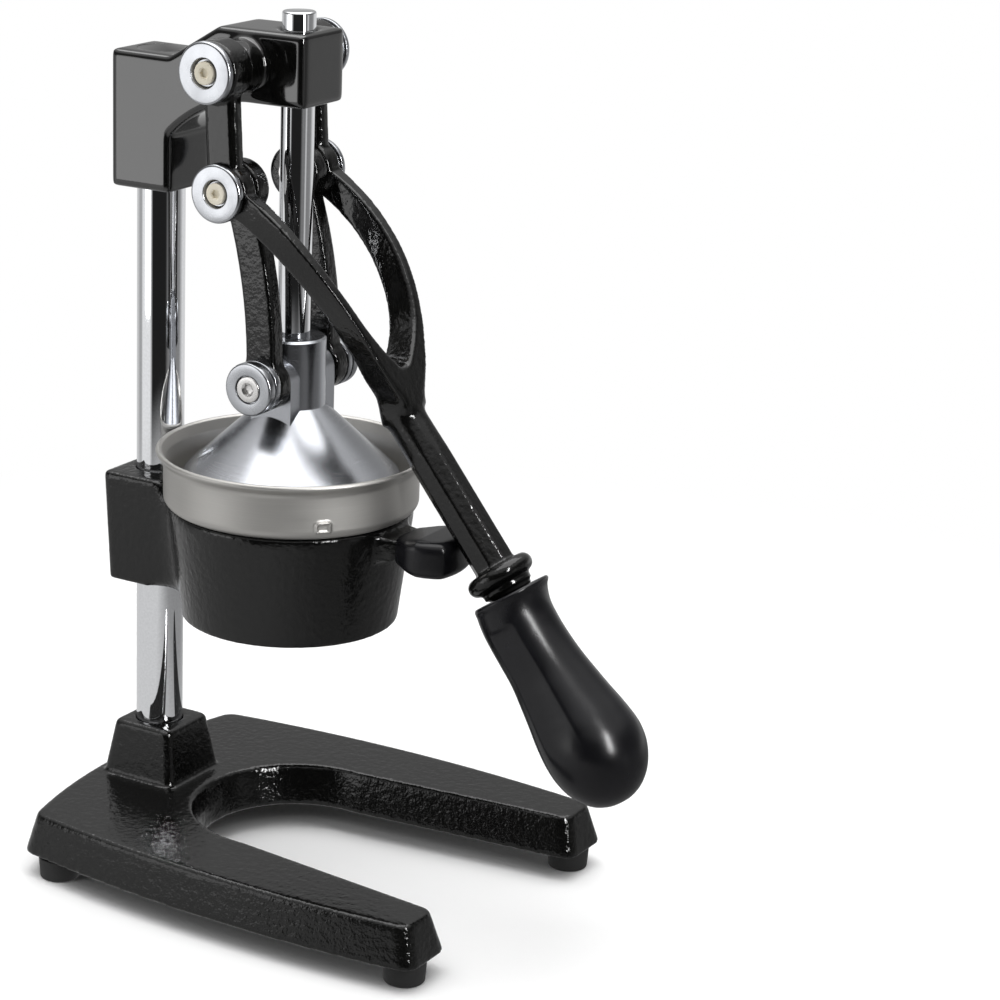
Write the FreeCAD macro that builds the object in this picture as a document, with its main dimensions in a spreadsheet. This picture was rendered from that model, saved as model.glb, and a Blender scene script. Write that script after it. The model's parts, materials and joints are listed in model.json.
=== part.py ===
import FreeCAD, Part
import math
import os
import Sketcher

# Lever citrus press: a U-shaped foot casting carries a post, a cup holder and a head block;
# a forked handle and two links drive a rod with a press cone down into a perforated dome.
# The press axis (cup, cone and rod) is x = 0, y = press_axis_y; +Z is up, the handle hangs to -Y.

doc = FreeCAD.newDocument("citrus_press")
sheet = doc.addObject("Spreadsheet::Sheet", "sizes")

SIZES = [
    ("press_axis_y", 41.402),
    # foot casting
    ("base_top_z", 31.1), ("base_under_z", 10.9), ("base_draft", 14.5), ("base_wall", 5.0),
    ("base_side_half", 92.0), ("base_front_half", 86.0), ("base_front_y", -122.0),
    ("base_rear_half", 82.0), ("base_rear_corner_y", 90.5), ("base_rear_y", 102.4),
    ("bay_front_half", 63.0), ("bay_rear_half", 51.3), ("bay_bend_y", -10.0), ("bay_rear_y", 44.5),
    ("boss_top_z", 58.6), ("boss_half", 17.0), ("boss_front_y", 58.5), ("boss_rear_y", 92.0),
    ("boss_draft", 8.8), ("boss_corner", 4.0), ("socket_floor_z", 26.0),
    ("foot_radius", 9.6), ("foot_spigot", 3.8), ("pillar_radius", 6.0), ("foot_front_half", 76.6),
    ("foot_front_y", -115.5),
    ("foot_rear_half", 78.0), ("foot_rear_y", 78.7),
    # post
    ("post_y", 76.3), ("post_radius", 11.5), ("post_top_z", 381.0), ("running_gap", 0.05),
    # cup holder
    ("holder_under_z", 129.0), ("holder_rim_z", 183.8), ("holder_rim_radius", 58.0),
    ("holder_under_radius", 51.6), ("holder_wall", 5.5), ("clamp_half", 22.0),
    ("clamp_under_z", 134.0), ("clamp_top_z", 188.6), ("clamp_rear_y", 92.0), ("clamp_draft", 2.0),
    ("clamp_corner", 3.5), ("tang_mid_z", 175.0),
    ("sleeve_half", 17.0), ("sleeve_front_y", -93.8), ("sleeve_rear_y", -64.5), ("sleeve_half_height", 9.0),
    # cup
    ("cup_rim_radius", 64.4), ("cup_rim_z", 211.4), ("cup_wall_radius", 60.5), ("cup_sheet", 1.2),
    ("outlet_radius", 11.0), ("outlet_tip_z", 126.0), ("outlet_top_z", 152.0),
    # strainer
    ("strainer_top_z", 225.6), ("strainer_top_radius", 18.2), ("strainer_ridge_z", 214.5),
    ("strainer_ridge_radius", 28.5), ("strainer_shelf_z", 203.0), ("strainer_shelf_radius", 40.5),
    ("strainer_rim_radius", 55.3), ("strainer_brim_z", 186.25), ("strainer_sheet", 1.2),
    # press head and rod
    ("cone_radius", 51.1), ("cone_lip_z", 194.9), ("cone_lip_top_z", 200.5), ("cone_wall", 2.6),
    ("hub_radius", 15.3), ("hub_root_z", 233.0), ("hub_floor_z", 231.5), ("hub_top_z", 265.6),
    ("rod_radius", 7.8), ("rod_screw_radius", 2.6),
    ("rod_top_z", 416.0), ("rod_end_z", 237.0), ("ear_outer", 18.6), ("ear_half", 11.0),
    # pivots: P0 handle on the head block, P1 elbow, P2 links on the press head
    ("head_pivot_y", 17.8), ("head_pivot_z", 391.8), ("elbow_y", 14.7), ("elbow_z", 337.0),
    ("eye_y", 0.0), ("eye_z", 247.1), ("pin_radius", 5.0), ("screw_radius", 3.0),
    # head block
    ("block_half", 17.5), ("block_rear_y", 93.4), ("block_rear_z", 392.0), ("block_front_y", -14.0),
    ("block_top_z", 407.8), ("block_under_z", 374.2), ("block_collar_z", 327.0), ("block_collar_y", 60.0),
    ("side_boss_outer", 29.7), ("side_boss_radius", 12.0), ("bush_radius", 10.8), ("bush_top_z", 403.0),
    # handle
    ("fork_inner", 30.0), ("head_eye_outer", 45.0), ("head_eye_radius", 14.0),
    ("elbow_inner", 29.7), ("elbow_outer", 40.0), ("elbow_eye_radius", 13.5),
    ("bar_inner", 30.5), ("bar_outer", 39.9), ("bar_half_depth", 8.6),
    ("lever_y", -61.5), ("lever_z", 236.4), ("lever_flats", 18.6), ("lever_length", 84.2),
    ("lever_lead", 6.0),
    ("lever_tilt", 38.75), ("ring_radius", 16.3), ("neck_radius", 12.0), ("tang_radius", 8.5),
    ("tang_length", 70.0),
    ("grip_y", -120.2), ("grip_z", 163.5), ("grip_tilt", 34.0), ("grip_length", 106.5),
    # links
    ("link_inner", 19.3), ("link_outer", 29.0), ("link_half", 7.7), ("link_bow", 4.5),
    ("link_top_radius", 13.4), ("link_low_radius", 12.4),
    # caps
    ("head_cap_face", 49.4), ("head_cap_radius", 14.2), ("elbow_cap_face", 44.2),
    ("elbow_cap_radius", 13.5),
    ("low_cap_face", 37.8), ("low_cap_radius", 12.5), ("screw_head_radius", 6.3),
    ("cream_head_radius", 5.4),
]
for row, (name, number) in enumerate(SIZES, start=1):
    sheet.set("A%d" % row, name)
    sheet.set("B%d" % row, str(number))
    sheet.setAlias("B%d" % row, name)
doc.recompute()


class Size:
    """A length together with the sheet expression that gives it."""

    def __init__(self, value, text):
        self.value = float(value)
        self.text = text

    def __add__(self, other):
        other = size(other)
        return Size(self.value + other.value, "(%s + %s)" % (self.text, other.text))

    def __radd__(self, other):
        return size(other) + self

    def __sub__(self, other):
        other = size(other)
        return Size(self.value - other.value, "(%s - %s)" % (self.text, other.text))

    def __rsub__(self, other):
        return size(other) - self

    def __mul__(self, other):
        other = size(other)
        return Size(self.value * other.value, "(%s * %s)" % (self.text, other.text))

    def __rmul__(self, other):
        return size(other) * self

    def __neg__(self):
        return Size(-self.value, "(0 - %s)" % self.text)


def size(number):
    """Turn a plain number into a Size; leave a Size alone."""
    if isinstance(number, Size):
        return number
    return Size(number, "(%.5f)" % number)


class Sheet:
    """Gives each alias of the sheet as a Size."""

    def __getattr__(self, name):
        return Size(sheet.get(name), "sizes." + name)


s = Sheet()


def bind(thing, prop, length):
    """Drive one property of a document object from the sheet."""
    thing.setExpression(prop, size(length).text)


def place(thing, x=0.0, y=0.0, z=0.0, turn=None):
    """Place an object at x, y, z from the press axis on the floor, with an optional rotation."""
    spot = (size(x), s.press_axis_y + y, size(z))
    rotation = turn if turn is not None else FreeCAD.Rotation()
    thing.Placement = FreeCAD.Placement(FreeCAD.Vector(*[axis.value for axis in spot]), rotation)
    for axis, length in zip("xyz", spot):
        bind(thing, "Placement.Base." + axis, length)


def new_body(label):
    body = doc.addObject("PartDesign::Body", label)
    body.Label = label
    return body


def new_sketch(body, role, name, offset=0.0):
    """A sketch on one of the body's own origin planes, moved along the plane's normal."""
    drawing = body.newObject("Sketcher::SketchObject", name)
    plane = [item for item in body.Origin.OriginFeatures if item.Role == role][0]
    drawing.AttachmentSupport = (plane, [""])
    drawing.MapMode = "FlatFace"
    bind(drawing, "AttachmentOffset.Base.z", offset)
    return drawing


def pin_point(drawing, shape, end, x, y):
    """Hold one point of a sketch at x, y measured from the sketch origin."""
    for kind, length in (("DistanceX", x), ("DistanceY", y)):
        number = drawing.addConstraint(Sketcher.Constraint(kind, -1, 1, shape, end, length.value))
        bind(drawing, "Constraints[%d]" % number, length)


def circle_through(first, second, third):
    """Centre and radius of the circle through three points of a sketch."""
    to_second, to_third = second - first, third - first
    cross = 2 * (to_second.x * to_third.y - to_second.y * to_third.x)
    span_two = to_second.x ** 2 + to_second.y ** 2
    span_three = to_third.x ** 2 + to_third.y ** 2
    shift = FreeCAD.Vector((to_third.y * span_two - to_second.y * span_three) / cross,
                           (to_second.x * span_three - to_third.x * span_two) / cross, 0)
    return first + shift, shift.Length


def vector(point):
    """The sketch point at a pair of Sizes."""
    return FreeCAD.Vector(point[0].value, point[1].value, 0)


def outline(drawing, steps):
    """Close an outline through (x, y) corners; (x, y, "via") makes the stretch an arc through it."""
    corners = []
    vias = {}
    for step in steps:
        if len(step) == 3:
            vias[len(corners) - 1] = (size(step[0]), size(step[1]))
        else:
            corners.append((size(step[0]), size(step[1])))
    shapes = []
    for number, corner in enumerate(corners):
        after = corners[(number + 1) % len(corners)]
        if number in vias:
            centre, radius = circle_through(vector(corner), vector(vias[number]), vector(after))
            angles = [math.atan2(point.y - centre.y, point.x - centre.x)
                      for point in (vector(corner), vector(vias[number]), vector(after))]
            sweep = (angles[2] - angles[0]) % (2 * math.pi)
            forward = (angles[1] - angles[0]) % (2 * math.pi) < sweep
            low, high = (angles[0], angles[2]) if forward else (angles[2], angles[0])
            if high < low:
                high += 2 * math.pi
            circle = Part.ArcOfCircle(Part.Circle(centre, FreeCAD.Vector(0, 0, 1), radius), low, high)
            ends = (1, 2) if forward else (2, 1)
            shapes.append((drawing.addGeometry(circle, False), ends))
        else:
            shapes.append((drawing.addGeometry(Part.LineSegment(vector(corner), vector(after)), False),
                (1, 2)))
    for number, (shape, ends) in enumerate(shapes):
        other, other_ends = shapes[(number + 1) % len(shapes)]
        drawing.addConstraint(Sketcher.Constraint("Coincident", shape, ends[1], other, other_ends[0]))
    for number, corner in enumerate(corners):
        shape, ends = shapes[number]
        pin_point(drawing, shape, ends[0], corner[0], corner[1])
    for number, via in vias.items():
        dot = drawing.addGeometry(Part.Point(vector(via)), True)
        pin_point(drawing, dot, 1, via[0], via[1])
        drawing.addConstraint(Sketcher.Constraint("PointOnObject", dot, 1, shapes[number][0]))
    return drawing


def ring_sketch(drawing, radius, x=0.0, y=0.0):
    """A full circle held at x, y with a driven radius."""
    x, y, radius = size(x), size(y), size(radius)
    centre = FreeCAD.Vector(x.value, y.value, 0)
    shape = drawing.addGeometry(Part.Circle(centre, FreeCAD.Vector(0, 0, 1), radius.value), False)
    pin_point(drawing, shape, 3, x, y)
    number = drawing.addConstraint(Sketcher.Constraint("Radius", shape, radius.value))
    bind(drawing, "Constraints[%d]" % number, radius)
    return drawing


def feature(body, kind, name, profile, **options):
    """Add a sketch-based PartDesign feature; Length and Angle options are bound to the sheet."""
    item = body.newObject("PartDesign::" + kind, name)
    item.Profile = profile
    for key, value in options.items():
        if isinstance(value, Size):
            setattr(item, key, value.value)
            bind(item, key, value)
        else:
            setattr(item, key, value)
    profile.Visibility = False
    return item


def pad(body, name, profile, length, **options):
    return feature(body, "Pad", name, profile, Length=size(length), **options)


def pocket(body, name, profile, length, **options):
    return feature(body, "Pocket", name, profile, Length=size(length), **options)


def turned(label, steps, x=0.0, y=0.0, z=0.0, turn=None):
    """A body turned about its own Z axis from a (radius, height) outline."""
    body = new_body(label)
    drawing = outline(new_sketch(body, "XZ_Plane", label + "_profile"), steps)
    feature(body, "Revolution", label + "_turn", drawing, ReferenceAxis=(drawing, ["V_Axis"]),
        Angle=size(360))
    place(body, x, y, z, turn)
    return body


def round_edges(body, name, radius, test, kind="Fillet"):
    """Round (or chamfer) the edges of the body so far that pass the test."""
    doc.recompute()
    base = body.Tip
    picked = ["Edge%d" % (n + 1) for n, edge in enumerate(base.Shape.Edges) if test(edge)]
    item = body.newObject("PartDesign::" + kind, name)
    item.Base = (base, picked)
    key = "Radius" if kind == "Fillet" else "Size"
    setattr(item, key, size(radius).value)
    bind(item, key, radius)
    doc.recompute()
    return item


def spread(body, name, originals, count):
    """Repeat features in equal steps around the body's own Z axis."""
    item = body.newObject("PartDesign::PolarPattern", name)
    item.Originals = originals
    axis = [part for part in body.Origin.OriginFeatures if part.Role == "Z_Axis"][0]
    item.Axis = (axis, [""])
    item.Angle = 360
    body.Tip = item
    item.Occurrences = count
    return item


def level_at(height):
    """A test for edges that lie flat at one height."""
    return lambda edge: edge.BoundBox.ZLength < 0.01 and abs(edge.BoundBox.ZMin - height) < 0.01


TO_RIGHT = FreeCAD.Rotation(FreeCAD.Vector(0, 1, 0), 90)
TO_LEFT = FreeCAD.Rotation(FreeCAD.Vector(0, 1, 0), -90)
SIDES = (("left", -1, TO_LEFT), ("right", 1, TO_RIGHT))
nodes = []


def keep(body):
    nodes.append(body)
    return body


# ---------------------------------------------------------------- foot casting
def base_outline(drawing, inset):
    """The U of the foot casting, drawn in by the inset all round."""
    side, front = s.base_side_half - inset, s.base_front_half - inset
    rear, corner = s.base_rear_half - inset, s.base_rear_corner_y - inset
    nose = s.base_front_y + inset
    bay, bend = s.bay_front_half + inset, s.bay_rear_half + inset
    return outline(drawing, [
        (front, nose), (side, -25, "via"), (rear, corner), (0, s.base_rear_y - inset, "via"),
        (-rear, corner), (-side, -25, "via"), (-front, nose), (-bay, nose),
        (-bend, s.bay_bend_y), (0, s.bay_rear_y + inset, "via"), (bend, s.bay_bend_y), (bay, nose),
    ])


base = new_body("base_casting")
plate = base_outline(new_sketch(base, "XY_Plane", "base_top", s.base_top_z), size(0))
pad(base, "base_plate", plate, s.base_top_z - s.base_under_z, Reversed=True, TaperAngle=s.base_draft)
round_edges(base, "base_corners", 9, lambda edge: edge.BoundBox.ZLength > 15 and edge.BoundBox.YMin > 60)
round_edges(base, "base_toes", 7, lambda edge: edge.BoundBox.ZLength > 15 and edge.BoundBox.YMax < -100)
collar = outline(new_sketch(base, "XY_Plane", "boss_top", s.boss_top_z), [
    (s.boss_half, s.boss_front_y), (s.boss_half, s.boss_rear_y),
    (-s.boss_half, s.boss_rear_y), (-s.boss_half, s.boss_front_y)])
pad(base, "post_boss", collar, s.boss_top_z - s.base_top_z + 2, Reversed=True, TaperAngle=s.boss_draft)
round_edges(base, "boss_corners", s.boss_corner, lambda edge: (
    edge.BoundBox.ZMax > 58 and edge.BoundBox.ZLength > 20))
round_edges(base, "boss_rim", 2.5, level_at(s.boss_top_z.value))
round_edges(base, "base_rim", 2.5, lambda edge: level_at(s.base_top_z.value)(edge) and not (
    abs(edge.BoundBox.Center.x) < 25 and 50 < edge.BoundBox.Center.y < 98 and edge.BoundBox.XLength < 50))
hollow = base_outline(new_sketch(base, "XY_Plane", "hollow_roof", s.base_top_z - s.base_wall), s.base_wall)
pocket(base, "hollow", hollow, s.base_top_z - s.base_wall - s.base_under_z + 1, TaperAngle=s.base_draft)
pillars = new_sketch(base, "XY_Plane", "pillar_plan", 12.0)
ring_sketch(pillars, 17, 0, s.post_y)
for half, deep in ((s.foot_front_half, s.foot_front_y), (s.foot_rear_half, s.foot_rear_y)):
    for way in (-1, 1):
        ring_sketch(pillars, s.pillar_radius, half * way, deep)
pad(base, "pillars", pillars, s.base_top_z - s.base_wall - 12.0 + 1)
socket = ring_sketch(new_sketch(base, "XY_Plane", "socket_plan", s.boss_top_z),
    s.post_radius + s.running_gap,
                     0, s.post_y)
pocket(base, "post_socket", socket, s.boss_top_z - s.socket_floor_z)
through = ring_sketch(new_sketch(base, "XY_Plane", "bolt_plan", s.socket_floor_z), 4.3, 0, s.post_y)
pocket(base, "bolt_hole", through, 20)
taps = new_sketch(base, "XY_Plane", "foot_tap_plan", 22.0)
for half, deep in ((s.foot_front_half, s.foot_front_y), (s.foot_rear_half, s.foot_rear_y)):
    for way in (-1, 1):
        ring_sketch(taps, 2.05, half * way, deep)
pocket(base, "foot_taps", taps, 14)
place(base)
keep(base)

FEET = [
    ("front_left", -s.foot_front_half, s.foot_front_y), ("front_right", s.foot_front_half, s.foot_front_y),
    ("rear_left", -s.foot_rear_half, s.foot_rear_y), ("rear_right", s.foot_rear_half, s.foot_rear_y),
]
foot_screws = []
for corner, foot_x, foot_y in FEET:
    keep(turned("foot_" + corner, [
        (2.4, 12.0), (2.4, 5.0), (5.0, 5.0), (5.0, 0.0), (s.foot_radius - 1.2, 0.0), (s.foot_radius, 1.2),
        (s.foot_radius + 0.6, 10.6), (s.foot_spigot, 10.6), (s.foot_spigot, 12.0)], foot_x, foot_y))
    foot_screws.append(turned("foot_screw_" + corner, [
        (0, 1.6), (3.8, 1.6), (4.2, 2.2), (4.2, 4.9), (2.0, 4.9), (2.0, 20.0), (0, 20.0)], foot_x, foot_y))
group = doc.addObject("Part::Compound", "foot_screws")
group.Label = "foot_screws"
group.Links = foot_screws
keep(group)

# ---------------------------------------------------------------- post
keep(turned("post", [
    (4.1, s.socket_floor_z), (s.post_radius, s.socket_floor_z), (s.post_radius, s.post_top_z - 1),
    (s.post_radius - 1, s.post_top_z), (0, s.post_top_z), (0, 56.0), (4.1, 54.0)], 0, s.post_y))
keep(turned("post_washer", [(4.4, 10.4), (11.0, 10.4), (11.0, 12.0), (4.4, 12.0)], 0, s.post_y))
keep(turned("post_bolt", [
    (0, 4.9), (5.8, 4.9), (6.5, 5.6), (6.5, 10.4), (4.0, 10.4), (4.0, 50.0), (0, 50.0)], 0, s.post_y))

# ---------------------------------------------------------------- cup holder
holder = new_body("cup_holder")
clamp = outline(new_sketch(holder, "XY_Plane", "clamp_plan", s.clamp_under_z), [
    (s.clamp_half, 40), (s.clamp_half, s.clamp_rear_y), (-s.clamp_half, s.clamp_rear_y),
    (-s.clamp_half, 40)])
pad(holder, "clamp_block", clamp, s.clamp_top_z - s.clamp_under_z, TaperAngle=s.clamp_draft)
round_edges(holder, "clamp_corners", s.clamp_corner, lambda edge: (
    edge.BoundBox.ZLength > 30 and edge.BoundBox.YMin > 80))
bowl = outline(new_sketch(holder, "XZ_Plane", "bowl_profile"), [
    (0, s.holder_under_z), (s.holder_under_radius, s.holder_under_z),
    (s.holder_rim_radius, s.holder_rim_z - 4), (s.holder_rim_radius, s.holder_rim_z), (0, s.holder_rim_z)])
feature(holder, "Revolution", "bowl", bowl, ReferenceAxis=(bowl, ["V_Axis"]), Angle=size(360))
root = outline(new_sketch(holder, "XY_Plane", "tang_root_plan", s.tang_mid_z - 5.8), [
    (19.5, -48), (-19.5, -48), (-12.5, -60), (-12.0, -64), (12.0, -64), (12.5, -60)])
pad(holder, "tang_root", root, 11.6)
tang = outline(new_sketch(holder, "XY_Plane", "tang_plan", s.tang_mid_z - 5), [
    (10, -50), (-10, -50), (-10, -87), (0, -89, "via"), (10, -87)])
pad(holder, "tang", tang, 10)
inside = outline(new_sketch(holder, "XZ_Plane", "bowl_inside"), [
    (0, s.holder_under_z - 1), (s.holder_under_radius - s.holder_wall, s.holder_under_z - 1),
    (s.holder_under_radius - s.holder_wall, s.holder_under_z + 4),
    (s.holder_rim_radius - s.holder_wall, s.holder_rim_z - 5),
    (s.holder_rim_radius - s.holder_wall, 190), (0, 190)])
feature(holder, "Groove", "bowl_hole", inside, ReferenceAxis=(inside, ["V_Axis"]), Angle=size(360))
ledge = ring_sketch(new_sketch(holder, "XY_Plane", "ledge_plan", 190.0), s.cup_wall_radius + 1.2)
pocket(holder, "cup_ledge", ledge, 190.0 - s.holder_rim_z)
round_edges(holder, "clamp_rim", 2, lambda edge: (
    level_at(s.clamp_top_z.value)(edge) and edge.BoundBox.YMax > 70))
bore = ring_sketch(new_sketch(holder, "XY_Plane", "clamp_bore_plan", 190.0), s.post_radius + s.running_gap,
                   0, s.post_y)
pocket(holder, "clamp_bore", bore, 70)
grubs = new_sketch(holder, "XZ_Plane", "grub_plan", -(s.clamp_rear_y + 3))
for level in (146.0, 172.0):
    ring_sketch(grubs, 3.05, 0, level)
pocket(holder, "grub_holes", grubs, 14, Reversed=True)
place(holder)
keep(holder)

TO_REAR = FreeCAD.Rotation(FreeCAD.Vector(1, 0, 0), -90)


def grub_screws(label, levels):
    """Two set screws in line, bearing on the post from behind."""
    screws = []
    for number, level in enumerate(levels, start=1):
        screws.append(turned("%s_%d" % (label, number), [
            (0, 0), (2.2, 0), (3.0, 0.8), (3.0, 3.9), (1.5, 3.9), (1.5, 1.6), (0, 1.6)],
            0, s.post_y + s.post_radius + 0.05, level, TO_REAR))
    group = doc.addObject("Part::Compound", label)
    group.Label = label
    group.Links = screws
    keep(group)


grub_screws("holder_set_screws", (146.0, 172.0))

sleeve = new_body("holder_grip")
plan = outline(new_sketch(sleeve, "XY_Plane", "grip_plan", s.tang_mid_z - s.sleeve_half_height), [
    (12.6, s.sleeve_rear_y), (-12.6, s.sleeve_rear_y), (-s.sleeve_half, s.sleeve_rear_y - 8),
    (-s.sleeve_half - 0.3, -80, "via"), (-12.5, s.sleeve_front_y + 2), (0, s.sleeve_front_y, "via"),
    (12.5, s.sleeve_front_y + 2), (s.sleeve_half + 0.3, -80, "via"), (s.sleeve_half, s.sleeve_rear_y - 8)])
pad(sleeve, "grip_block", plan, s.sleeve_half_height * 2)
round_edges(sleeve, "grip_rounds", 4.5, lambda edge: edge.BoundBox.ZLength < 0.01 and not (
    edge.BoundBox.YMin > s.sleeve_rear_y.value - 0.1))
cavity = outline(new_sketch(sleeve, "XY_Plane", "grip_cavity_plan", s.tang_mid_z - 5.05), [
    (10.05, -64), (-10.05, -64), (-10.05, -87.05), (0, -89.05, "via"), (10.05, -87.05)])
pocket(sleeve, "grip_cavity", cavity, 10.1, Reversed=True)
place(sleeve)
keep(sleeve)

# ---------------------------------------------------------------- cup and strainer
wall = s.cup_wall_radius
skin = s.cup_sheet
keep(turned("juice_cup", [
    (s.outlet_radius - skin, s.outlet_tip_z), (s.outlet_radius, s.outlet_tip_z),
    (s.outlet_radius, s.outlet_top_z - 2), (s.outlet_radius + 1.5, s.outlet_top_z + 0.3),
    (50.5, 182.0), (51.5, s.holder_rim_z), (wall - 5, s.holder_rim_z),
    (wall - 1.4, s.holder_rim_z + 1.4, "via"), (wall, s.holder_rim_z + 5),
    (wall, s.cup_rim_z - 5.5), (s.cup_rim_radius - 1.0, s.cup_rim_z - 3.4),
    (s.cup_rim_radius + 0.1, s.cup_rim_z - 1.6, "via"), (s.cup_rim_radius - 1.2, s.cup_rim_z),
    (wall - skin, s.cup_rim_z - 2.6), (wall - skin, s.holder_rim_z + 5),
    (wall - 2.3, s.holder_rim_z + 2.3, "via"), (wall - 5, s.holder_rim_z + skin),
    (51.0, s.holder_rim_z + skin), (49.9, 183.1),
    (s.outlet_radius + 0.9, s.outlet_top_z + 1.3), (s.outlet_radius - skin, s.outlet_top_z - 1.6)]))

rim = s.strainer_rim_radius
mesh = s.strainer_sheet
strainer = new_body("strainer")
ridge, ridge_z = s.strainer_ridge_radius, s.strainer_ridge_z
shelf, shelf_z = s.strainer_shelf_radius, s.strainer_shelf_z
disc, disc_z = s.strainer_top_radius, s.strainer_top_z
brim_z = s.strainer_brim_z
dome = outline(new_sketch(strainer, "XZ_Plane", "dome_profile"), [
    (0, disc_z), (disc - 2.2, disc_z), (disc - 0.6, disc_z - 0.5, "via"), (disc, disc_z - 1.8),
    (disc + 4.0, disc_z - 4.9, "via"), (ridge - 3.0, ridge_z + 2.2), (ridge, ridge_z),
    (ridge + 1.6, ridge_z - 0.9, "via"), (ridge + 2.6, ridge_z - 2.7), (shelf - 4.0, shelf_z + 3.3),
    (shelf, shelf_z), (shelf + 1.9, shelf_z - 1.7, "via"), (shelf + 3.0, shelf_z - 4.2),
    (shelf + 5.5, brim_z + 6.4),
    (shelf + 7.0, brim_z), (rim, brim_z), (rim, brim_z - mesh), (shelf + 6.0, brim_z - mesh),
    (shelf + 4.3, brim_z + 6.2), (shelf + 1.8, shelf_z - 4.5), (shelf + 0.9, shelf_z - 2.5, "via"),
    (shelf - 0.8, shelf_z - 0.95), (shelf - 4.9, shelf_z + 2.5), (ridge + 1.6, ridge_z - 3.4),
    (ridge + 0.7, ridge_z - 1.8, "via"), (ridge - 0.8, ridge_z - 0.95), (ridge - 3.8, ridge_z + 1.3),
    (disc + 3.1, disc_z - 5.7, "via"), (disc - 0.9, disc_z - 2.6), (disc - 2.2, disc_z - mesh),
    (0, disc_z - mesh)])
feature(strainer, "Revolution", "dome", dome, ReferenceAxis=(dome, ["V_Axis"]), Angle=size(360))
middle = ring_sketch(new_sketch(strainer, "XY_Plane", "middle_hole", s.strainer_top_z + 2), 1.4)
pocket(strainer, "middle_pierce", middle, 8)


def pierce(name, radius, height, count, reach=0.0):
    """A ring of round holes, or of radial slots when reach is given, cut down from a height."""
    drawing = new_sketch(strainer, "XY_Plane", name + "_plan", height)
    if reach:
        inner, outer = size(radius), size(radius) + reach
        outline(drawing, [(-0.9, inner), (0, inner - 0.9, "via"), (0.9, inner), (1.25, outer),
                          (0, outer + 1.25, "via"), (-1.25, outer)])
    else:
        ring_sketch(drawing, 1.3, 0, radius)
    cut = pocket(strainer, name, drawing, 9)
    doc.recompute()
    spread(strainer, name + "_ring", [cut], count)


pierce("top_holes", 9.5, s.strainer_top_z + 2, 8)
pierce("ridge_slots", 24.5, s.strainer_ridge_z + 5, 6, 3.6)
pierce("shelf_holes", 37.5, s.strainer_shelf_z + 5, 6)
place(strainer)
keep(strainer)

# ---------------------------------------------------------------- head block
block = new_body("head_block")
side = outline(new_sketch(block, "YZ_Plane", "block_side"), [
    (s.block_rear_y, s.block_collar_z), (s.block_rear_y, s.block_rear_z), (60, s.block_rear_z - 0.4),
    (33, s.block_top_z), (s.block_front_y, s.block_top_z), (s.block_front_y, s.block_under_z),
    (19, s.block_under_z), (42, s.block_under_z - 6.8, "via"), (s.block_collar_y, s.block_under_z - 20),
    (s.block_collar_y, s.block_collar_z)])
pad(block, "block_body", side, s.block_half * 2, Midplane=True)
round_edges(block, "block_rounds", 2.6, lambda edge: edge.BoundBox.XLength < 0.01)
ears = ring_sketch(new_sketch(block, "YZ_Plane", "side_boss_plan"), s.side_boss_radius, s.head_pivot_y,
                   s.head_pivot_z)
pad(block, "side_bosses", ears, s.side_boss_outer * 2, Midplane=True)
bores = ring_sketch(new_sketch(block, "YZ_Plane", "shaft_plan"), s.pin_radius + 0.02, s.head_pivot_y,
                    s.head_pivot_z)
pocket(block, "shaft_bore", bores, 90, Midplane=True)
seat = ring_sketch(new_sketch(block, "XY_Plane", "post_bore_plan", s.block_collar_z - 1),
                   s.post_radius + s.running_gap, 0, s.post_y)
pocket(block, "post_bore", seat, s.post_top_z - s.block_collar_z + 1.5, Reversed=True)
guide = outline(new_sketch(block, "XZ_Plane", "guide_profile"), [
    (0, s.block_under_z - 1), (s.bush_radius + 0.02, s.block_under_z - 1),
    (s.bush_radius + 0.02, s.bush_top_z),
    (s.rod_radius + 0.5, s.bush_top_z), (s.rod_radius + 0.5, s.block_top_z + 1), (0, s.block_top_z + 1)])
feature(block, "Groove", "guide_bore", guide, ReferenceAxis=(guide, ["V_Axis"]), Angle=size(360))
grubs = new_sketch(block, "XZ_Plane", "block_grub_plan", -(s.block_rear_y + 1))
for level in (344.0, 370.0):
    ring_sketch(grubs, 3.05, 0, level)
pocket(block, "block_grub_holes", grubs, 12, Reversed=True)
place(block)
keep(block)
grub_screws("head_set_screws", (344.0, 370.0))
keep(turned("guide_bush", [
    (s.rod_radius + 0.06, s.block_under_z), (s.bush_radius, s.block_under_z),
    (s.bush_radius, s.bush_top_z - 0.1), (s.rod_radius + 0.06, s.bush_top_z - 0.1)]))

# ---------------------------------------------------------------- press head and rod
head = new_body("press_head")
cone = outline(new_sketch(head, "XZ_Plane", "cone_profile"), [
    (0, s.cone_lip_z), (0, s.hub_top_z), (s.hub_radius - 1, s.hub_top_z), (s.hub_radius, s.hub_top_z - 1),
    (s.hub_radius, s.hub_root_z), (s.cone_radius - 0.8, s.cone_lip_top_z),
    (s.cone_radius, s.cone_lip_top_z - 0.9), (s.cone_radius, s.cone_lip_z + 0.8),
    (s.cone_radius - 0.8, s.cone_lip_z)])
feature(head, "Revolution", "cone_turn", cone, ReferenceAxis=(cone, ["V_Axis"]), Angle=size(360))
lug = outline(new_sketch(head, "YZ_Plane", "ear_plan"), [
    (s.ear_half, s.hub_root_z - 9), (s.ear_half, s.eye_z), (0, s.eye_z + s.ear_half, "via"),
    (-s.ear_half, s.eye_z),
    (-s.ear_half, s.hub_root_z - 9)])
pad(head, "ears", lug, s.ear_outer * 2, Midplane=True)
inside = outline(new_sketch(head, "XZ_Plane", "cone_inside"), [
    (0, s.cone_lip_z - 1), (s.cone_radius - s.cone_wall, s.cone_lip_z - 1),
    (s.cone_radius - s.cone_wall, s.cone_lip_top_z - 1.9), (15.0, s.hub_floor_z - 2), (9.0, s.hub_floor_z),
    (0, s.hub_floor_z)])
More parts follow.
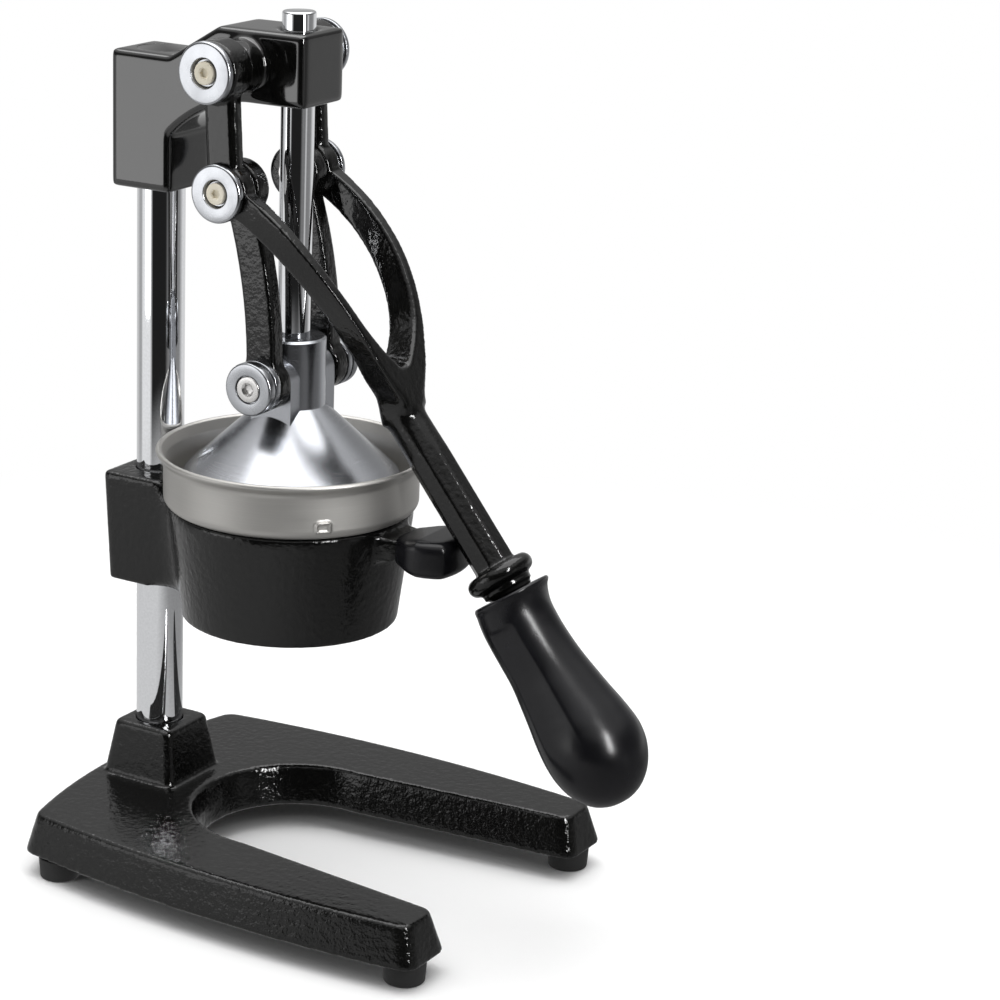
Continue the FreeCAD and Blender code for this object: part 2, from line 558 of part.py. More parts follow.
feature(head, "Groove", "cone_hollow", inside, ReferenceAxis=(inside, ["V_Axis"]), Angle=size(360))
pins = ring_sketch(new_sketch(head, "YZ_Plane", "ear_bore_plan"), s.screw_radius + 0.1, s.eye_y, s.eye_z)
pocket(head, "ear_bore", pins, 60, Midplane=True)
sock = ring_sketch(new_sketch(head, "XY_Plane", "rod_socket_plan", 270.0), s.rod_radius + 0.02)
pocket(head, "rod_socket", sock, 270.0 - s.rod_end_z)
tap = ring_sketch(new_sketch(head, "XY_Plane", "rod_screw_plan", s.rod_end_z + 1), s.rod_screw_radius)
pocket(head, "rod_screw_hole", tap, 20)
place(head)
keep(head)
keep(turned("slide_rod", [
    (s.rod_screw_radius, s.rod_end_z), (s.rod_radius, s.rod_end_z), (s.rod_radius, s.rod_top_z - 1),
    (s.rod_radius - 1, s.rod_top_z), (0, s.rod_top_z), (0, s.rod_end_z + 14),
    (s.rod_screw_radius, s.rod_end_z + 12.5)]))
keep(turned("rod_screw", [
    (0, s.hub_floor_z - 3.0), (4.2, s.hub_floor_z - 3.0), (5.0, s.hub_floor_z - 0.05),
    (s.rod_screw_radius - 0.1, s.hub_floor_z - 0.05), (s.rod_screw_radius - 0.1, s.rod_end_z + 10),
    (0, s.rod_end_z + 10)]))

# ---------------------------------------------------------------- handle
pieces = []
for way, sign, turn in SIDES:
    for label, y, z, low, high, radius in (
            ("head_eye", s.head_pivot_y, s.head_pivot_z, s.fork_inner, s.head_eye_outer, s.head_eye_radius),
            ("elbow_eye", s.elbow_y, s.elbow_z, s.elbow_inner, s.elbow_outer, s.elbow_eye_radius)):
        pieces.append(turned("%s_%s" % (label, way), [
            (0, low), (radius - 1.2, low), (radius, low + 1.2), (radius, high - 1.2),
            (radius - 1.2, high), (0, high)],
            0, y, z, turn))
    bar = new_body("short_bar_" + way)
    plan = outline(new_sketch(bar, "YZ_Plane", "short_bar_plan_" + way,
        s.bar_inner if sign > 0 else -s.bar_outer), [
        (s.elbow_y + s.bar_half_depth, s.elbow_z), (s.head_pivot_y + s.bar_half_depth, s.head_pivot_z),
        (s.head_pivot_y - s.bar_half_depth, s.head_pivot_z), (s.elbow_y - s.bar_half_depth, s.elbow_z)])
    pad(bar, "short_bar_pad_" + way, plan, s.bar_outer - s.bar_inner)
    round_edges(bar, "short_bar_rounds_" + way, 2.6, lambda edge: edge.BoundBox.ZLength > 30, "Chamfer")
    place(bar)
    pieces.append(bar)

side = new_body("fork_side")
plan = outline(new_sketch(side, "YZ_Plane", "fork_side_plan"), [
    (11.9, 343.1), (-29.9, 313.2, "via"), (-58.3, 268.5), (s.lever_y - 7.4, s.lever_z + 5.6),
    (s.lever_y + 7.4, s.lever_z - 5.6), (-45.7, 263.5), (-20.1, 303.8, "via"), (17.5, 330.9)])
pad(side, "fork_side_pad", plan, 100, Midplane=True)
place(side)
front = new_body("fork_front")
plan = outline(new_sketch(front, "XZ_Plane", "fork_front_plan"), [
    (39.6, 346), (38.0, 317, "via"), (31.0, 291), (21.5, 268, "via"), (9.3, 245), (9.3, 225),
    (-9.3, 225), (-9.3, 245), (-21.5, 268, "via"), (-31.0, 291), (-38.0, 317, "via"), (-39.6, 346),
    (-s.elbow_inner, 346), (-31.2, 318, "via"), (-25.0, 292), (-17.3, 275.5, "via"), (-6.5, 263),
    (0, 260, "via"), (6.5, 263), (17.3, 275.5, "via"), (25.0, 292), (31.2, 318, "via"),
    (s.elbow_inner, 346)])
pad(front, "fork_front_pad", plan, 200, Midplane=True)
place(front)
fork = doc.addObject("Part::MultiCommon", "fork_arms")
fork.Shapes = [side, front]
pieces.append(fork)

LEVER_TURN = FreeCAD.Rotation(FreeCAD.Vector(1, 0, 0), -s.lever_tilt.value)
lever = new_body("lever_bar")
half = s.lever_flats * 0.5
cut = half * math.tan(math.radians(22.5))
plan = outline(new_sketch(lever, "XY_Plane", "lever_plan", -s.lever_length), [
    (half, cut), (cut, half), (-cut, half), (-half, cut), (-half, -cut), (-cut, -half), (cut, -half),
    (half, -cut)])
pad(lever, "lever_pad", plan, s.lever_length + s.lever_lead)
plan = outline(new_sketch(lever, "XZ_Plane", "collar_profile"), [
    (0, -s.lever_length + 5), (s.neck_radius - 1, -s.lever_length + 4),
    (s.ring_radius, -s.lever_length, "via"),
    (s.neck_radius, -s.lever_length - 4.4),
    (s.neck_radius, -s.lever_length - 7.6), (0, -s.lever_length - 7.6)])
feature(lever, "Revolution", "collar_turn", plan, ReferenceAxis=(plan, ["V_Axis"]), Angle=size(360))
place(lever, 0, s.lever_y, s.lever_z, LEVER_TURN)
pieces.append(lever)

GRIP_TURN = FreeCAD.Rotation(FreeCAD.Vector(1, 0, 0), -s.grip_tilt.value)
pieces.append(turned("handle_tang", [
    (0, 4), (10.5, 4), (10.5, 0.1), (s.tang_radius, 0.1), (s.tang_radius, -s.tang_length + 2),
    (s.tang_radius - 2, -s.tang_length), (0, -s.tang_length)], 0, s.grip_y, s.grip_z, GRIP_TURN))
casting = doc.addObject("Part::MultiFuse", "handle_blank")
casting.Shapes = pieces
bores = []
for way, sign, turn in SIDES:
    for label, y, z, gap in (("head", s.head_pivot_y, s.head_pivot_z, 0.05),
        ("elbow", s.elbow_y, s.elbow_z, 0.02)):
        bores.append(turned("%s_drill_%s" % (label, way), [
            (0, 25), (s.pin_radius + gap, 25), (s.pin_radius + gap, 50), (0, 50)], 0, y, z, turn))
drills = doc.addObject("Part::MultiFuse", "handle_drills")
drills.Shapes = bores
casting_cut = doc.addObject("Part::Cut", "handle_casting")
casting_cut.Label = "handle_casting"
casting_cut.Base = casting
casting_cut.Tool = drills
keep(casting_cut)

# The grip is lofted through circles: (distance from rim, diameter, offset to the front).
grip = new_body("handle_grip")
GRIP_RINGS = [(0, 36.8, -0.2), (4, 35.9, -1.6), (10, 34.8, -3.1), (18, 34.4, -3.3), (28, 34.7, -2.6),
              (38, 35.8, -1.5), (48, 38.6, -0.6), (58, 41.6, 0.3), (68, 45.3, 1.2), (78, 47.1, 2.0),
              (86, 44.8, 2.1), (93, 39.8, 1.9), (99, 31.0, 1.7), (104, 18.0, 1.5), (106.5, 7.0, 1.5)]
rings = []
for number, (along, wide, shift) in enumerate(GRIP_RINGS):
    drawing = new_sketch(grip, "XY_Plane", "grip_ring_%d" % number,
        size(-along) * s.grip_length * (1 / 106.5))
    rings.append(ring_sketch(drawing, wide / 2, 0, -shift))
loft = grip.newObject("PartDesign::AdditiveLoft", "grip_loft")
loft.Profile = rings[0]
loft.Sections = rings[1:]
cavity = ring_sketch(new_sketch(grip, "XY_Plane", "tang_cavity_plan", 1.0), s.tang_radius + 0.03)
pocket(grip, "tang_cavity", cavity, s.tang_length + 1.5)
place(grip, 0, s.grip_y, s.grip_z, GRIP_TURN)
keep(grip)

# ---------------------------------------------------------------- links
for way, sign, turn in SIDES:
    link = new_body("link_" + way)
    thick = s.link_outer - s.link_inner
    start = s.link_inner if sign > 0 else -s.link_outer
    middle_y = (s.elbow_y + s.eye_y) * 0.5 - s.link_bow
    middle_z = (s.elbow_z + s.eye_z) * 0.5
    bow = outline(new_sketch(link, "YZ_Plane", "link_bow_" + way, start), [
        (s.elbow_y + s.link_half, s.elbow_z), (s.elbow_y - s.link_half, s.elbow_z),
        (middle_y - s.link_half, middle_z, "via"), (s.eye_y - s.link_half, s.eye_z),
        (s.eye_y + s.link_half, s.eye_z), (middle_y + s.link_half, middle_z, "via")])
    pad(link, "link_bar_" + way, bow, thick)
    for eye, y, z, radius in (("top", s.elbow_y, s.elbow_z, s.link_top_radius),
                              ("low", s.eye_y, s.eye_z, s.link_low_radius)):
        boss = ring_sketch(new_sketch(link, "YZ_Plane", "link_%s_eye_%s" % (eye, way), start), radius, y, z)
        pad(link, "link_%s_boss_%s" % (eye, way), boss, thick)
    round_edges(link, "link_waist_" + way, 7, lambda edge: edge.BoundBox.XLength > 5
                and edge.BoundBox.YLength < 0.01 and edge.BoundBox.ZLength < 0.01)
    round_edges(link, "link_rounds_" + way, 1.6, lambda edge: edge.BoundBox.XLength < 0.01)
    for eye, y, z, radius in (("top", s.elbow_y, s.elbow_z, s.pin_radius + 0.05),
                              ("low", s.eye_y, s.eye_z, s.screw_radius + 0.02)):
        hole = ring_sketch(new_sketch(link, "YZ_Plane", "link_%s_hole_%s" % (eye, way), -60), radius, y, z)
        pocket(link, "link_%s_bore_%s" % (eye, way), hole, 120, Reversed=True)
    place(link)
    keep(link)

# ---------------------------------------------------------------- pivot hardware
keep(turned("pivot_shaft", [
    (2.6, -45.2), (s.pin_radius, -45.2), (s.pin_radius, 45.2), (2.6, 45.2), (2.6, 30.0), (0, 28.0),
    (0, -28.0),
    (2.6, -30.0)], 0, s.head_pivot_y, s.head_pivot_z, TO_RIGHT))


def cap(label, face, radius, back, head, y, z, turn):
    """A turned cap: a thin rear flange, a groove and a disc with a recess for the screw head."""
    return keep(turned(label, [
        (2.65, back), (radius - 1.6, back), (radius - 1.6, back + 1.0), (radius - 0.6, back + 1.0),
        (radius, back + 1.6), (radius, face - 0.9), (radius - 0.9, face), (head + 0.9, face),
        (head + 0.3, face - 0.6), (head + 0.3, face - 2.0), (2.65, face - 2.0)], 0, y, z, turn))


def cap_screw(label, face, inner, radius, head, y, z, turn, key):
    """A flat-head screw, its head sunk in the cap, with a hex recess."""
    body = turned(label, [
        (0, inner), (radius, inner), (radius, face - 1.98), (head, face - 1.98),
        (head, face - 0.6), (head - 0.6, face), (0, face)], 0, y, z, turn)
    corners = [(size(key * math.cos(math.radians(60 * n))), size(key * math.sin(math.radians(60 * n))))
               for n in range(6)]
    socket = outline(new_sketch(body, "XY_Plane", label + "_key", face), corners)
    pocket(body, label + "_socket", socket, 1.6)
    return keep(body)


for way, sign, turn in SIDES:
    cap("pivot_cap_" + way, s.head_cap_face, s.head_cap_radius, size(45.3), s.cream_head_radius,
        s.head_pivot_y, s.head_pivot_z, turn)
    cap_screw("pivot_screw_" + way, s.head_cap_face, size(33.0), 2.55, s.cream_head_radius,
              s.head_pivot_y, s.head_pivot_z, turn, 2.3)
    keep(turned("elbow_pin_" + way, [
        (0, 17.9), (7.0, 17.9), (7.5, 18.3), (7.5, 19.0), (s.pin_radius, 19.0), (s.pin_radius, 40.0),
        (2.6, 40.0),
        (2.6, 24.0), (0, 22.5)], 0, s.elbow_y, s.elbow_z, turn))
    cap("elbow_cap_" + way, s.elbow_cap_face, s.elbow_cap_radius, size(40.0), s.cream_head_radius - 0.8,
        s.elbow_y, s.elbow_z, turn)
    cap_screw("elbow_screw_" + way, s.elbow_cap_face, size(27.0), 2.55, s.cream_head_radius - 0.8,
              s.elbow_y, s.elbow_z, turn, 2.1)
    keep(turned("lower_cap_" + way, [
        (3.05, 29.0), (s.low_cap_radius - 0.4, 29.0), (s.low_cap_radius, 29.5), (s.low_cap_radius, 31.6),
        (s.low_cap_radius - 0.5, 32.1), (s.low_cap_radius - 2.0, 32.1), (s.low_cap_radius - 2.0, 33.3),
        (s.low_cap_radius - 0.5, 33.3), (s.low_cap_radius, 33.8), (s.low_cap_radius, s.low_cap_face - 0.9),
        (s.low_cap_radius - 0.9, s.low_cap_face), (s.screw_head_radius + 0.3, s.low_cap_face),
        (s.screw_head_radius + 0.3, s.low_cap_face - 2.0), (3.05, s.low_cap_face - 2.0)],
        0, s.eye_y, s.eye_z, turn))
    cap_screw("lower_screw_" + way, s.low_cap_face, size(19.0), s.screw_radius, s.screw_head_radius,
              s.eye_y, s.eye_z, turn, 2.6)

# ---------------------------------------------------------------- checks and files
doc.recompute()
for item in doc.Objects:
    bad = [word for word in item.State if word in ("Invalid", "Error")]
    if bad:
        raise RuntimeError("%s is %s" % (item.Name, bad))
os.makedirs("parts", exist_ok=True)
for node in nodes:
    shape = node.Shape
    if shape.isNull() or not shape.isValid():
        raise RuntimeError("bad shape in " + node.Label)
    shape.exportStep("parts/%s.step" % node.Label)
    print("%-22s %2d solid(s) %10.1f mm3" % (node.Label, len(shape.Solids), shape.Volume))
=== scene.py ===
import math

import bmesh
import bpy
import numpy as np
from mathutils import Matrix, Vector
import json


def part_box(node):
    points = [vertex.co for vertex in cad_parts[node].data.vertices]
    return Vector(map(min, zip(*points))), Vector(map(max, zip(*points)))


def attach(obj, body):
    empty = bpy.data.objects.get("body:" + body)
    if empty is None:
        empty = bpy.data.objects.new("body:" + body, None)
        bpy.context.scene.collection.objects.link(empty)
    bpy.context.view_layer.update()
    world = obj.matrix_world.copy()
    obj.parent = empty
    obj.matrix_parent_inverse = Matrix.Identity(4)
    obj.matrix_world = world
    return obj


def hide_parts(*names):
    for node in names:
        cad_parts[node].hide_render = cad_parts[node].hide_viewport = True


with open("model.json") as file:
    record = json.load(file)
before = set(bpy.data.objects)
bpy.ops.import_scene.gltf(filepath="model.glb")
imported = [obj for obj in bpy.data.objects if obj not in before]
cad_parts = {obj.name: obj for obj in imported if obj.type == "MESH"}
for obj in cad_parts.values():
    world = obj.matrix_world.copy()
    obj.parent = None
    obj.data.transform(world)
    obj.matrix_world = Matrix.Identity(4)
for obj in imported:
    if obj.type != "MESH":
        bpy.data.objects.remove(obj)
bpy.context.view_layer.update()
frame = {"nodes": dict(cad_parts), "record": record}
NODES = frame["nodes"]
BODY_OF = {}
for body_name, members in frame["record"]["behaviour"]["bodies"].items():
    for member in members:
        BODY_OF[member] = body_name
SLOT_OF = {row["node"]: row["material_slot"] for row in frame["record"]["subparts"]}

MM = 0.001
QUICK_VOXEL = 1.0
SIDES = ("left", "right")


def middle(node):
    """The centre of a CAD node's box."""
    low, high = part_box(node)
    return (low + high) / 2


def top_of(node):
    """The height of a CAD node's top, in mm from the floor."""
    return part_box(node)[1].z / MM


def long_of(node):
    """The length of a CAD node from side to side, in mm."""
    low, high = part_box(node)
    return (high.x - low.x) / MM


PRESS_AXIS = middle("slide_rod")


def from_axis(x, y, z):
    """A point given in mm from the press axis on the floor."""
    return Vector((PRESS_AXIS.x + x * MM, PRESS_AXIS.y + y * MM, z * MM))


# ---------------------------------------------------------------- node materials
class Nodes:
    """A small helper that adds nodes and links or sets their sockets, by name or number."""

    def __init__(self, tree):
        self.tree = tree

    def add(self, kind, inputs=None, **settings):
        node = self.tree.nodes.new(kind)
        for key, value in settings.items():
            setattr(node, key, value)
        for key, value in (inputs or {}).items():
            if isinstance(value, bpy.types.NodeSocket):
                self.tree.links.new(value, node.inputs[key])
            else:
                node.inputs[key].default_value = value
        return node

    def math(self, operation, first, second=0.0):
        return self.add("ShaderNodeMath", {0: first, 1: second}, operation=operation).outputs[0]

    def noise(self, vector, scale, detail=2.0, roughness=0.5):
        return self.add("ShaderNodeTexNoise", {"Vector": vector, "Scale": scale, "Detail": detail,
                                               "Roughness": roughness}).outputs["Fac"]

    def ramp(self, value, stops, ease="LINEAR"):
        node = self.add("ShaderNodeValToRGB", {"Fac": value})
        node.color_ramp.interpolation = ease
        band = node.color_ramp.elements
        while len(band) < len(stops):
            band.new(0.5)
        for element, (place, shade) in zip(band, stops):
            element.position = place
            element.color = shade if isinstance(shade, tuple) else (shade, shade, shade, 1)
        return node.outputs["Color"]

    def bump(self, height, strength, distance):
        inputs = {"Height": height, "Strength": strength, "Distance": distance}
        return self.add("ShaderNodeBump", inputs).outputs["Normal"]

    def measure(self, operation, vector, other=None):
        """A number from one or two vectors, such as a length or a dot product."""
        inputs = {0: vector} if other is None else {0: vector, 1: other}
        return self.add("ShaderNodeVectorMath", inputs, operation=operation).outputs["Value"]

    def glow(self, colour):
        """Light of an even strength."""
        return self.add("ShaderNodeEmission", {"Color": colour, "Strength": 1.0}).outputs[0]

    def mix_shaders(self, share, first, second):
        return self.add("ShaderNodeMixShader", {0: share, 1: first, 2: second}).outputs[0]

    def mix_colours(self, share, first, second):
        return self.add("ShaderNodeMix", {0: share, 6: first, 7: second}, data_type="RGBA").outputs[2]


def new_material(name, **sockets):
    """A Principled material; sockets are set on the shader itself."""
    material = bpy.data.materials.new(name)
    material.use_nodes = True
    tree = material.node_tree
    shader = tree.nodes["Principled BSDF"]
    for key, value in sockets.items():
        shader.inputs[key.replace("_", " ")].default_value = value
    nodes = Nodes(tree)
    place = nodes.add("ShaderNodeTexCoord").outputs["Object"]
    return material, nodes, shader, place


def link(nodes, socket, shader, key):
    nodes.tree.links.new(socket, shader.inputs[key])


def enamel(name, size, depth, roughness, ior):
    """Gloss black enamel: fine grain on low lumps, with a gloss that changes a little from place to place."""
    material, nodes, shader, place = new_material(name, IOR=ior)
    grain = nodes.noise(place, size, 2.0, 0.5)
    lumps = nodes.noise(place, size * 0.35, 2.0, 0.5)
    broad = nodes.noise(place, 45.0, 2.0, 0.5)
    height = nodes.math("ADD", nodes.math("MULTIPLY", grain, 0.5), nodes.math("MULTIPLY", lumps, 1.3))
    link(nodes, nodes.bump(height, 1.0, depth), shader, "Normal")
    shade = nodes.ramp(grain, [(0.3, (0.0030, 0.0030, 0.0030, 1)), (0.7, (0.0055, 0.0055, 0.005, 1))])
    link(nodes, shade, shader, "Base Color")
    dull = nodes.ramp(broad, [(0.3, roughness * 0.8), (0.7, roughness * 1.3)])
    link(nodes, dull, shader, "Roughness")
    return material


def turned_metal(name, colour, roughness, spread, lines, anisotropy, depth, centre):
    """Metal with fine marks that run round an upright axis through the centre."""
    material, nodes, shader, place = new_material(name, Metallic=1.0, Anisotropic=anisotropy)
    shifted = nodes.add("ShaderNodeVectorMath", {0: place, 1: centre}, operation="SUBTRACT").outputs[0]
    parts = nodes.add("ShaderNodeSeparateXYZ", {0: shifted}).outputs
    flat = nodes.add("ShaderNodeCombineXYZ", {"X": parts["X"], "Y": parts["Y"]}).outputs[0]
    radius = nodes.measure("LENGTH", flat)
    angle = nodes.math("ARCTAN2", parts["X"], nodes.math("MULTIPLY", parts["Y"], -1.0))
    ring = nodes.add("ShaderNodeCombineXYZ", {
        "X": nodes.math("MULTIPLY", radius, lines), "Y": nodes.math("MULTIPLY", angle, 1.4),
        "Z": nodes.math("MULTIPLY", parts["Z"], lines)}).outputs[0]
    marks = nodes.noise(ring, 1.0, 4.0, 0.7)
    cloud = nodes.noise(place, 60.0, 3.0, 0.6)
    link(nodes, nodes.bump(marks, 0.5, depth), shader, "Normal")
    wear = nodes.math("ADD", nodes.math("MULTIPLY", marks, 0.6), nodes.math("MULTIPLY", cloud, 0.4))
    dull = nodes.ramp(wear, [(0.35, roughness - spread), (0.65, roughness + spread)])
    link(nodes, dull, shader, "Roughness")
    dark = tuple(0.9 * part for part in colour) + (1,)
    link(nodes, nodes.ramp(marks, [(0.3, dark), (0.7, tuple(colour) + (1,))]), shader, "Base Color")
    if anisotropy:
        tangent = nodes.add("ShaderNodeTangent", direction_type="RADIAL", axis="Z").outputs[0]
        link(nodes, tangent, shader, "Tangent")
    return material


def plain_metal(name, colour, roughness, grain=900.0, depth=0.00001):
    """Plated or polished metal with a faint cloudy change of gloss."""
    material, nodes, shader, place = new_material(name, Metallic=1.0)
    cloud = nodes.noise(place, 35.0, 3.0, 0.6)
    fine = nodes.noise(place, grain, 2.0, 0.5)
    dull = nodes.ramp(cloud, [(0.35, roughness * 0.6), (0.7, roughness * 1.5)])
    link(nodes, dull, shader, "Roughness")
    link(nodes, nodes.bump(fine, 0.25, depth), shader, "Normal")
    pale = tuple(colour) + (1,)
    deep = tuple(0.93 * part for part in colour) + (1,)
    link(nodes, nodes.ramp(fine, [(0.3, deep), (0.7, pale)]), shader, "Base Color")
    return material


def moulded(name, low, high, roughness, grain, depth, ior=1.45):
    """Moulded plastic, rubber or a painted screw: an even colour with a fine grain."""
    material, nodes, shader, place = new_material(name, IOR=ior)
    fine = nodes.noise(place, grain, 3.0, 0.6)
    cloud = nodes.noise(place, 40.0, 3.0, 0.55)
    link(nodes, nodes.ramp(cloud, [(0.3, low + (1,)), (0.7, high + (1,))]), shader, "Base Color")
    dull = nodes.ramp(cloud, [(0.3, roughness * 0.85), (0.7, roughness * 1.2)])
    link(nodes, dull, shader, "Roughness")
    link(nodes, nodes.bump(fine, 0.5, depth), shader, "Normal")
    return material


CENTRE = (PRESS_AXIS.x, PRESS_AXIS.y, 0.0)
MATERIALS = {
    "enamel": enamel("enamel", 900.0, 0.00024, 0.10, 1.45),
    "enamel_smooth": enamel("enamel_smooth", 120.0, 0.00003, 0.07, 1.72),
    "rubber": moulded("rubber", (0.010, 0.010, 0.010), (0.018, 0.018, 0.018), 0.62, 1500.0, 0.00006),
    "chrome": plain_metal("chrome", (0.86, 0.87, 0.89), 0.035),
    "stainless": turned_metal("stainless", (0.50, 0.49, 0.47), 0.48, 0.04, 5200.0, 0.0, 0.00002, CENTRE),
    "alloy": turned_metal("alloy", (0.41, 0.42, 0.445), 0.24, 0.04, 7000.0, 0.4, 0.000015, CENTRE),
    "grip_plastic": moulded("grip_plastic", (0.005, 0.005, 0.006), (0.008, 0.008, 0.010), 0.24,
                            2600.0, 0.00002, 1.38),
    "screw_steel": plain_metal("screw_steel", (0.62, 0.61, 0.60), 0.22, 1400.0, 0.00002),
    "screw_cream": moulded("screw_cream", (0.72, 0.66, 0.52), (0.86, 0.81, 0.68), 0.34, 1800.0, 0.00003),
    "bronze": plain_metal("bronze", (0.60, 0.43, 0.22), 0.25, 1200.0, 0.00002),
}
SMOOTHER_ENAMEL = enamel("enamel_lever", 700.0, 0.00013, 0.10, 1.45)
CAP_CHROME = plain_metal("chrome_caps", (0.40, 0.41, 0.43), 0.24, 1600.0, 0.00001)


# ---------------------------------------------------------------- mesh helpers
def show(mesh, node, smooth_angle=None, material=None):
    """Put a mesh in the scene as the piece that stands for a CAD node."""
    piece = bpy.data.objects.new(node + "_body", mesh)
    bpy.context.scene.collection.objects.link(piece)
    mesh.materials.clear()
    mesh.materials.append(material or MATERIALS[SLOT_OF[node]])
    mesh.shade_smooth()
    if smooth_angle is not None:
        mesh.set_sharp_from_angle(angle=math.radians(smooth_angle))
    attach(piece, BODY_OF[node])
    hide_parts(node)
    return piece


def points_of(mesh):
    """The vertex positions of a mesh as an array."""
    flat = np.empty(len(mesh.vertices) * 3)
    mesh.vertices.foreach_get("co", flat)
    return flat.reshape(-1, 3)


def set_points(mesh, points):
    mesh.vertices.foreach_set("co", points.ravel())
    mesh.update()


def baked(thing):
    """A new mesh of an object with its modifiers applied."""
    bpy.context.view_layer.update()
    return bpy.data.meshes.new_from_object(thing.evaluated_get(bpy.context.evaluated_depsgraph_get()))


def add_smooth(thing, name, passes):
    smooth = thing.modifiers.new(name, "SMOOTH")
    smooth.factor = 0.5
    smooth.iterations = passes
    return smooth


def clear_bore(mesh, node, axis, radius, low=-1.0):
    """Push vertices out of the bore round a shaft, from a place along its axis upward."""
    centre = np.array(middle(node))
    points = points_of(mesh)
    away = points - centre
    away[:, axis] = 0
    distance = np.linalg.norm(away, axis=1)
    inside = (distance < radius * MM) & (distance > 1e-6) & (points[:, axis] > low)
    stretch = radius * MM / distance[inside]
    points[inside] += away[inside] * (stretch - 1)[:, None]
    set_points(mesh, points)


def add_blends(work, blends):
    """Melt joints in a casting together; each blend is a centre, radii in mm and a number of passes."""
    mesh = baked(work)
    work.modifiers.clear()
    work.data = mesh
    points = points_of(mesh)
    for number, (centre, radii, passes) in enumerate(blends):
        reach = np.linalg.norm((points - np.array(centre)) / (np.array(radii) * MM), axis=1)
        near = np.clip(1.6 * (1 - reach), 0, 1)
        group = work.vertex_groups.new(name="blend_%d" % number)
        for place in np.nonzero(near)[0]:
            group.add([int(place)], float(near[place]), "REPLACE")
        add_smooth(work, "melt_%d" % number, passes).vertex_group = group.name


def add_lumps(work, name, height, size):
    """Low uneven lumps, as sand leaves them on a casting."""
    texture = bpy.data.textures.new(name, "CLOUDS")
    texture.noise_scale = size * MM
    texture.noise_depth = 1
    swell = work.modifiers.new("swell", "DISPLACE")
    swell.texture = texture
    swell.texture_coords = "LOCAL"
    swell.strength = height * MM
    swell.mid_level = 0.5


def casting(node, voxel, passes, lumps=0.0, lump_size=3.0, bores=(), blends=(), material=None):
    """A rounded, slightly lumpy casting made from the node's own shape, with its bores cleared.

    Sizes are in mm. Each bore is the node that runs in it, the number of its axis, its radius and,
    where it is blind, the height in metres at which it starts.
    """
    work = bpy.data.objects.new("work", NODES[node].data.copy())
    bpy.context.scene.collection.objects.link(work)
    remesh = work.modifiers.new("remesh", "REMESH")
    remesh.mode = "VOXEL"
    remesh.voxel_size = voxel * MM * QUICK_VOXEL
    add_smooth(work, "soften", passes)
    if blends:
        add_blends(work, blends)
    if lumps:
        add_lumps(work, node + "_lumps", lumps, lump_size)
    mesh = baked(work)
    bpy.data.objects.remove(work)
    for bore in bores:
        clear_bore(mesh, *bore)
    return show(mesh, node, material=material)


def rounded(corners, steps=5):
    """A polyline from (x, y, radius) corners with each corner turned into an arc."""
    points = []
    count = len(corners)
    for number, (x, y, radius) in enumerate(corners):
        here = Vector((x, y))
        if radius <= 0 or number in (0, count - 1):
            points.append((x, y))
            continue
        before = (Vector(corners[number - 1][:2]) - here).normalized()
        after = (Vector(corners[number + 1][:2]) - here).normalized()
        half = before.angle(after) / 2
        reach = radius / math.tan(half)
        start, end = here + before * reach, here + after * reach
        centre = here + (before + after).normalized() * (radius / math.sin(half))
        first = math.atan2(start.y - centre.y, start.x - centre.x)
        sweep = math.atan2(end.y - centre.y, end.x - centre.x) - first
        sweep = (sweep + math.pi) % (2 * math.pi) - math.pi
        for step in range(steps + 1):
            angle = first + sweep * step / steps
            points.append((centre.x + radius * math.cos(angle), centre.y + radius * math.sin(angle)))
    return points


def band_faces(low, high):
    """The faces between two rings of point numbers; a ring of one point is a tip."""
    faces = []
    for step in range(max(len(low), len(high))):
        after = (step + 1) % max(len(low), len(high))
        if len(low) == 1:
            faces.append((low[0], high[after], high[step]))
        elif len(high) == 1:
            faces.append((low[step], low[after], high[0]))
        else:
            faces.append((low[step], low[after], high[after], high[step]))
    return faces


def closed_mesh(name, points, faces):
    """A mesh from points in metres, with every face turned outward."""
    mesh = bpy.data.meshes.new(name)
    mesh.from_pydata(points, [], faces)
    work = bmesh.new()
    work.from_mesh(mesh)
    bmesh.ops.recalc_face_normals(work, faces=work.faces)
    work.to_mesh(mesh)
    work.free()
    return mesh


def lathe(profile, segments=128, warp=None, angles=None):
    """A closed mesh turned about Z from (radius, height) points in mm; warp moves single points.

    A first or last point on the axis closes that end; otherwise the profile joins up into a ring.
    """
    if angles is None:
        angles = [2 * math.pi * step / segments for step in range(segments)]
    points, faces, rings = [], [], []
    for radius, height in profile:
        if radius < 1e-6:
            rings.append([len(points)])
            points.append(Vector((0, 0, height)))
            continue
        ring = []
        for angle in angles:
            point = Vector((radius * math.cos(angle), radius * math.sin(angle), height))
            ring.append(len(points))
            points.append(warp(point, radius, angle) if warp else point)
        rings.append(ring)
    pairs = list(zip(rings, rings[1:]))
    if len(rings[0]) > 1:
        pairs.append((rings[-1], rings[0]))
    for low, high in pairs:
        faces += band_faces(low, high)
    return closed_mesh("turned", [point * MM for point in points], faces)


def stand_at(mesh, spot, turn=None):
    """Turn a mesh and move it to a spot in the frame."""
    matrix = Matrix.Translation(spot)
    if turn is not None:
        matrix = matrix @ turn.to_4x4()
    mesh.transform(matrix)
    return mesh


# ---------------------------------------------------------------- castings
X, Z = 0, 2
PIN_BORE_RADIUS = 5.2
POST_BORE = ("post", Z, 11.7)
ROD_BORE = ("slide_rod", Z, 8.4)
BASE_BORE_FLOOR = 0.0275


def pin_bore(node):
    """The bore round a cross pin or the pivot shaft."""
    return (node, X, PIN_BORE_RADIUS)


casting("base_casting", 0.9, 12, 0.10, 3.0, [POST_BORE + (BASE_BORE_FLOOR,)])

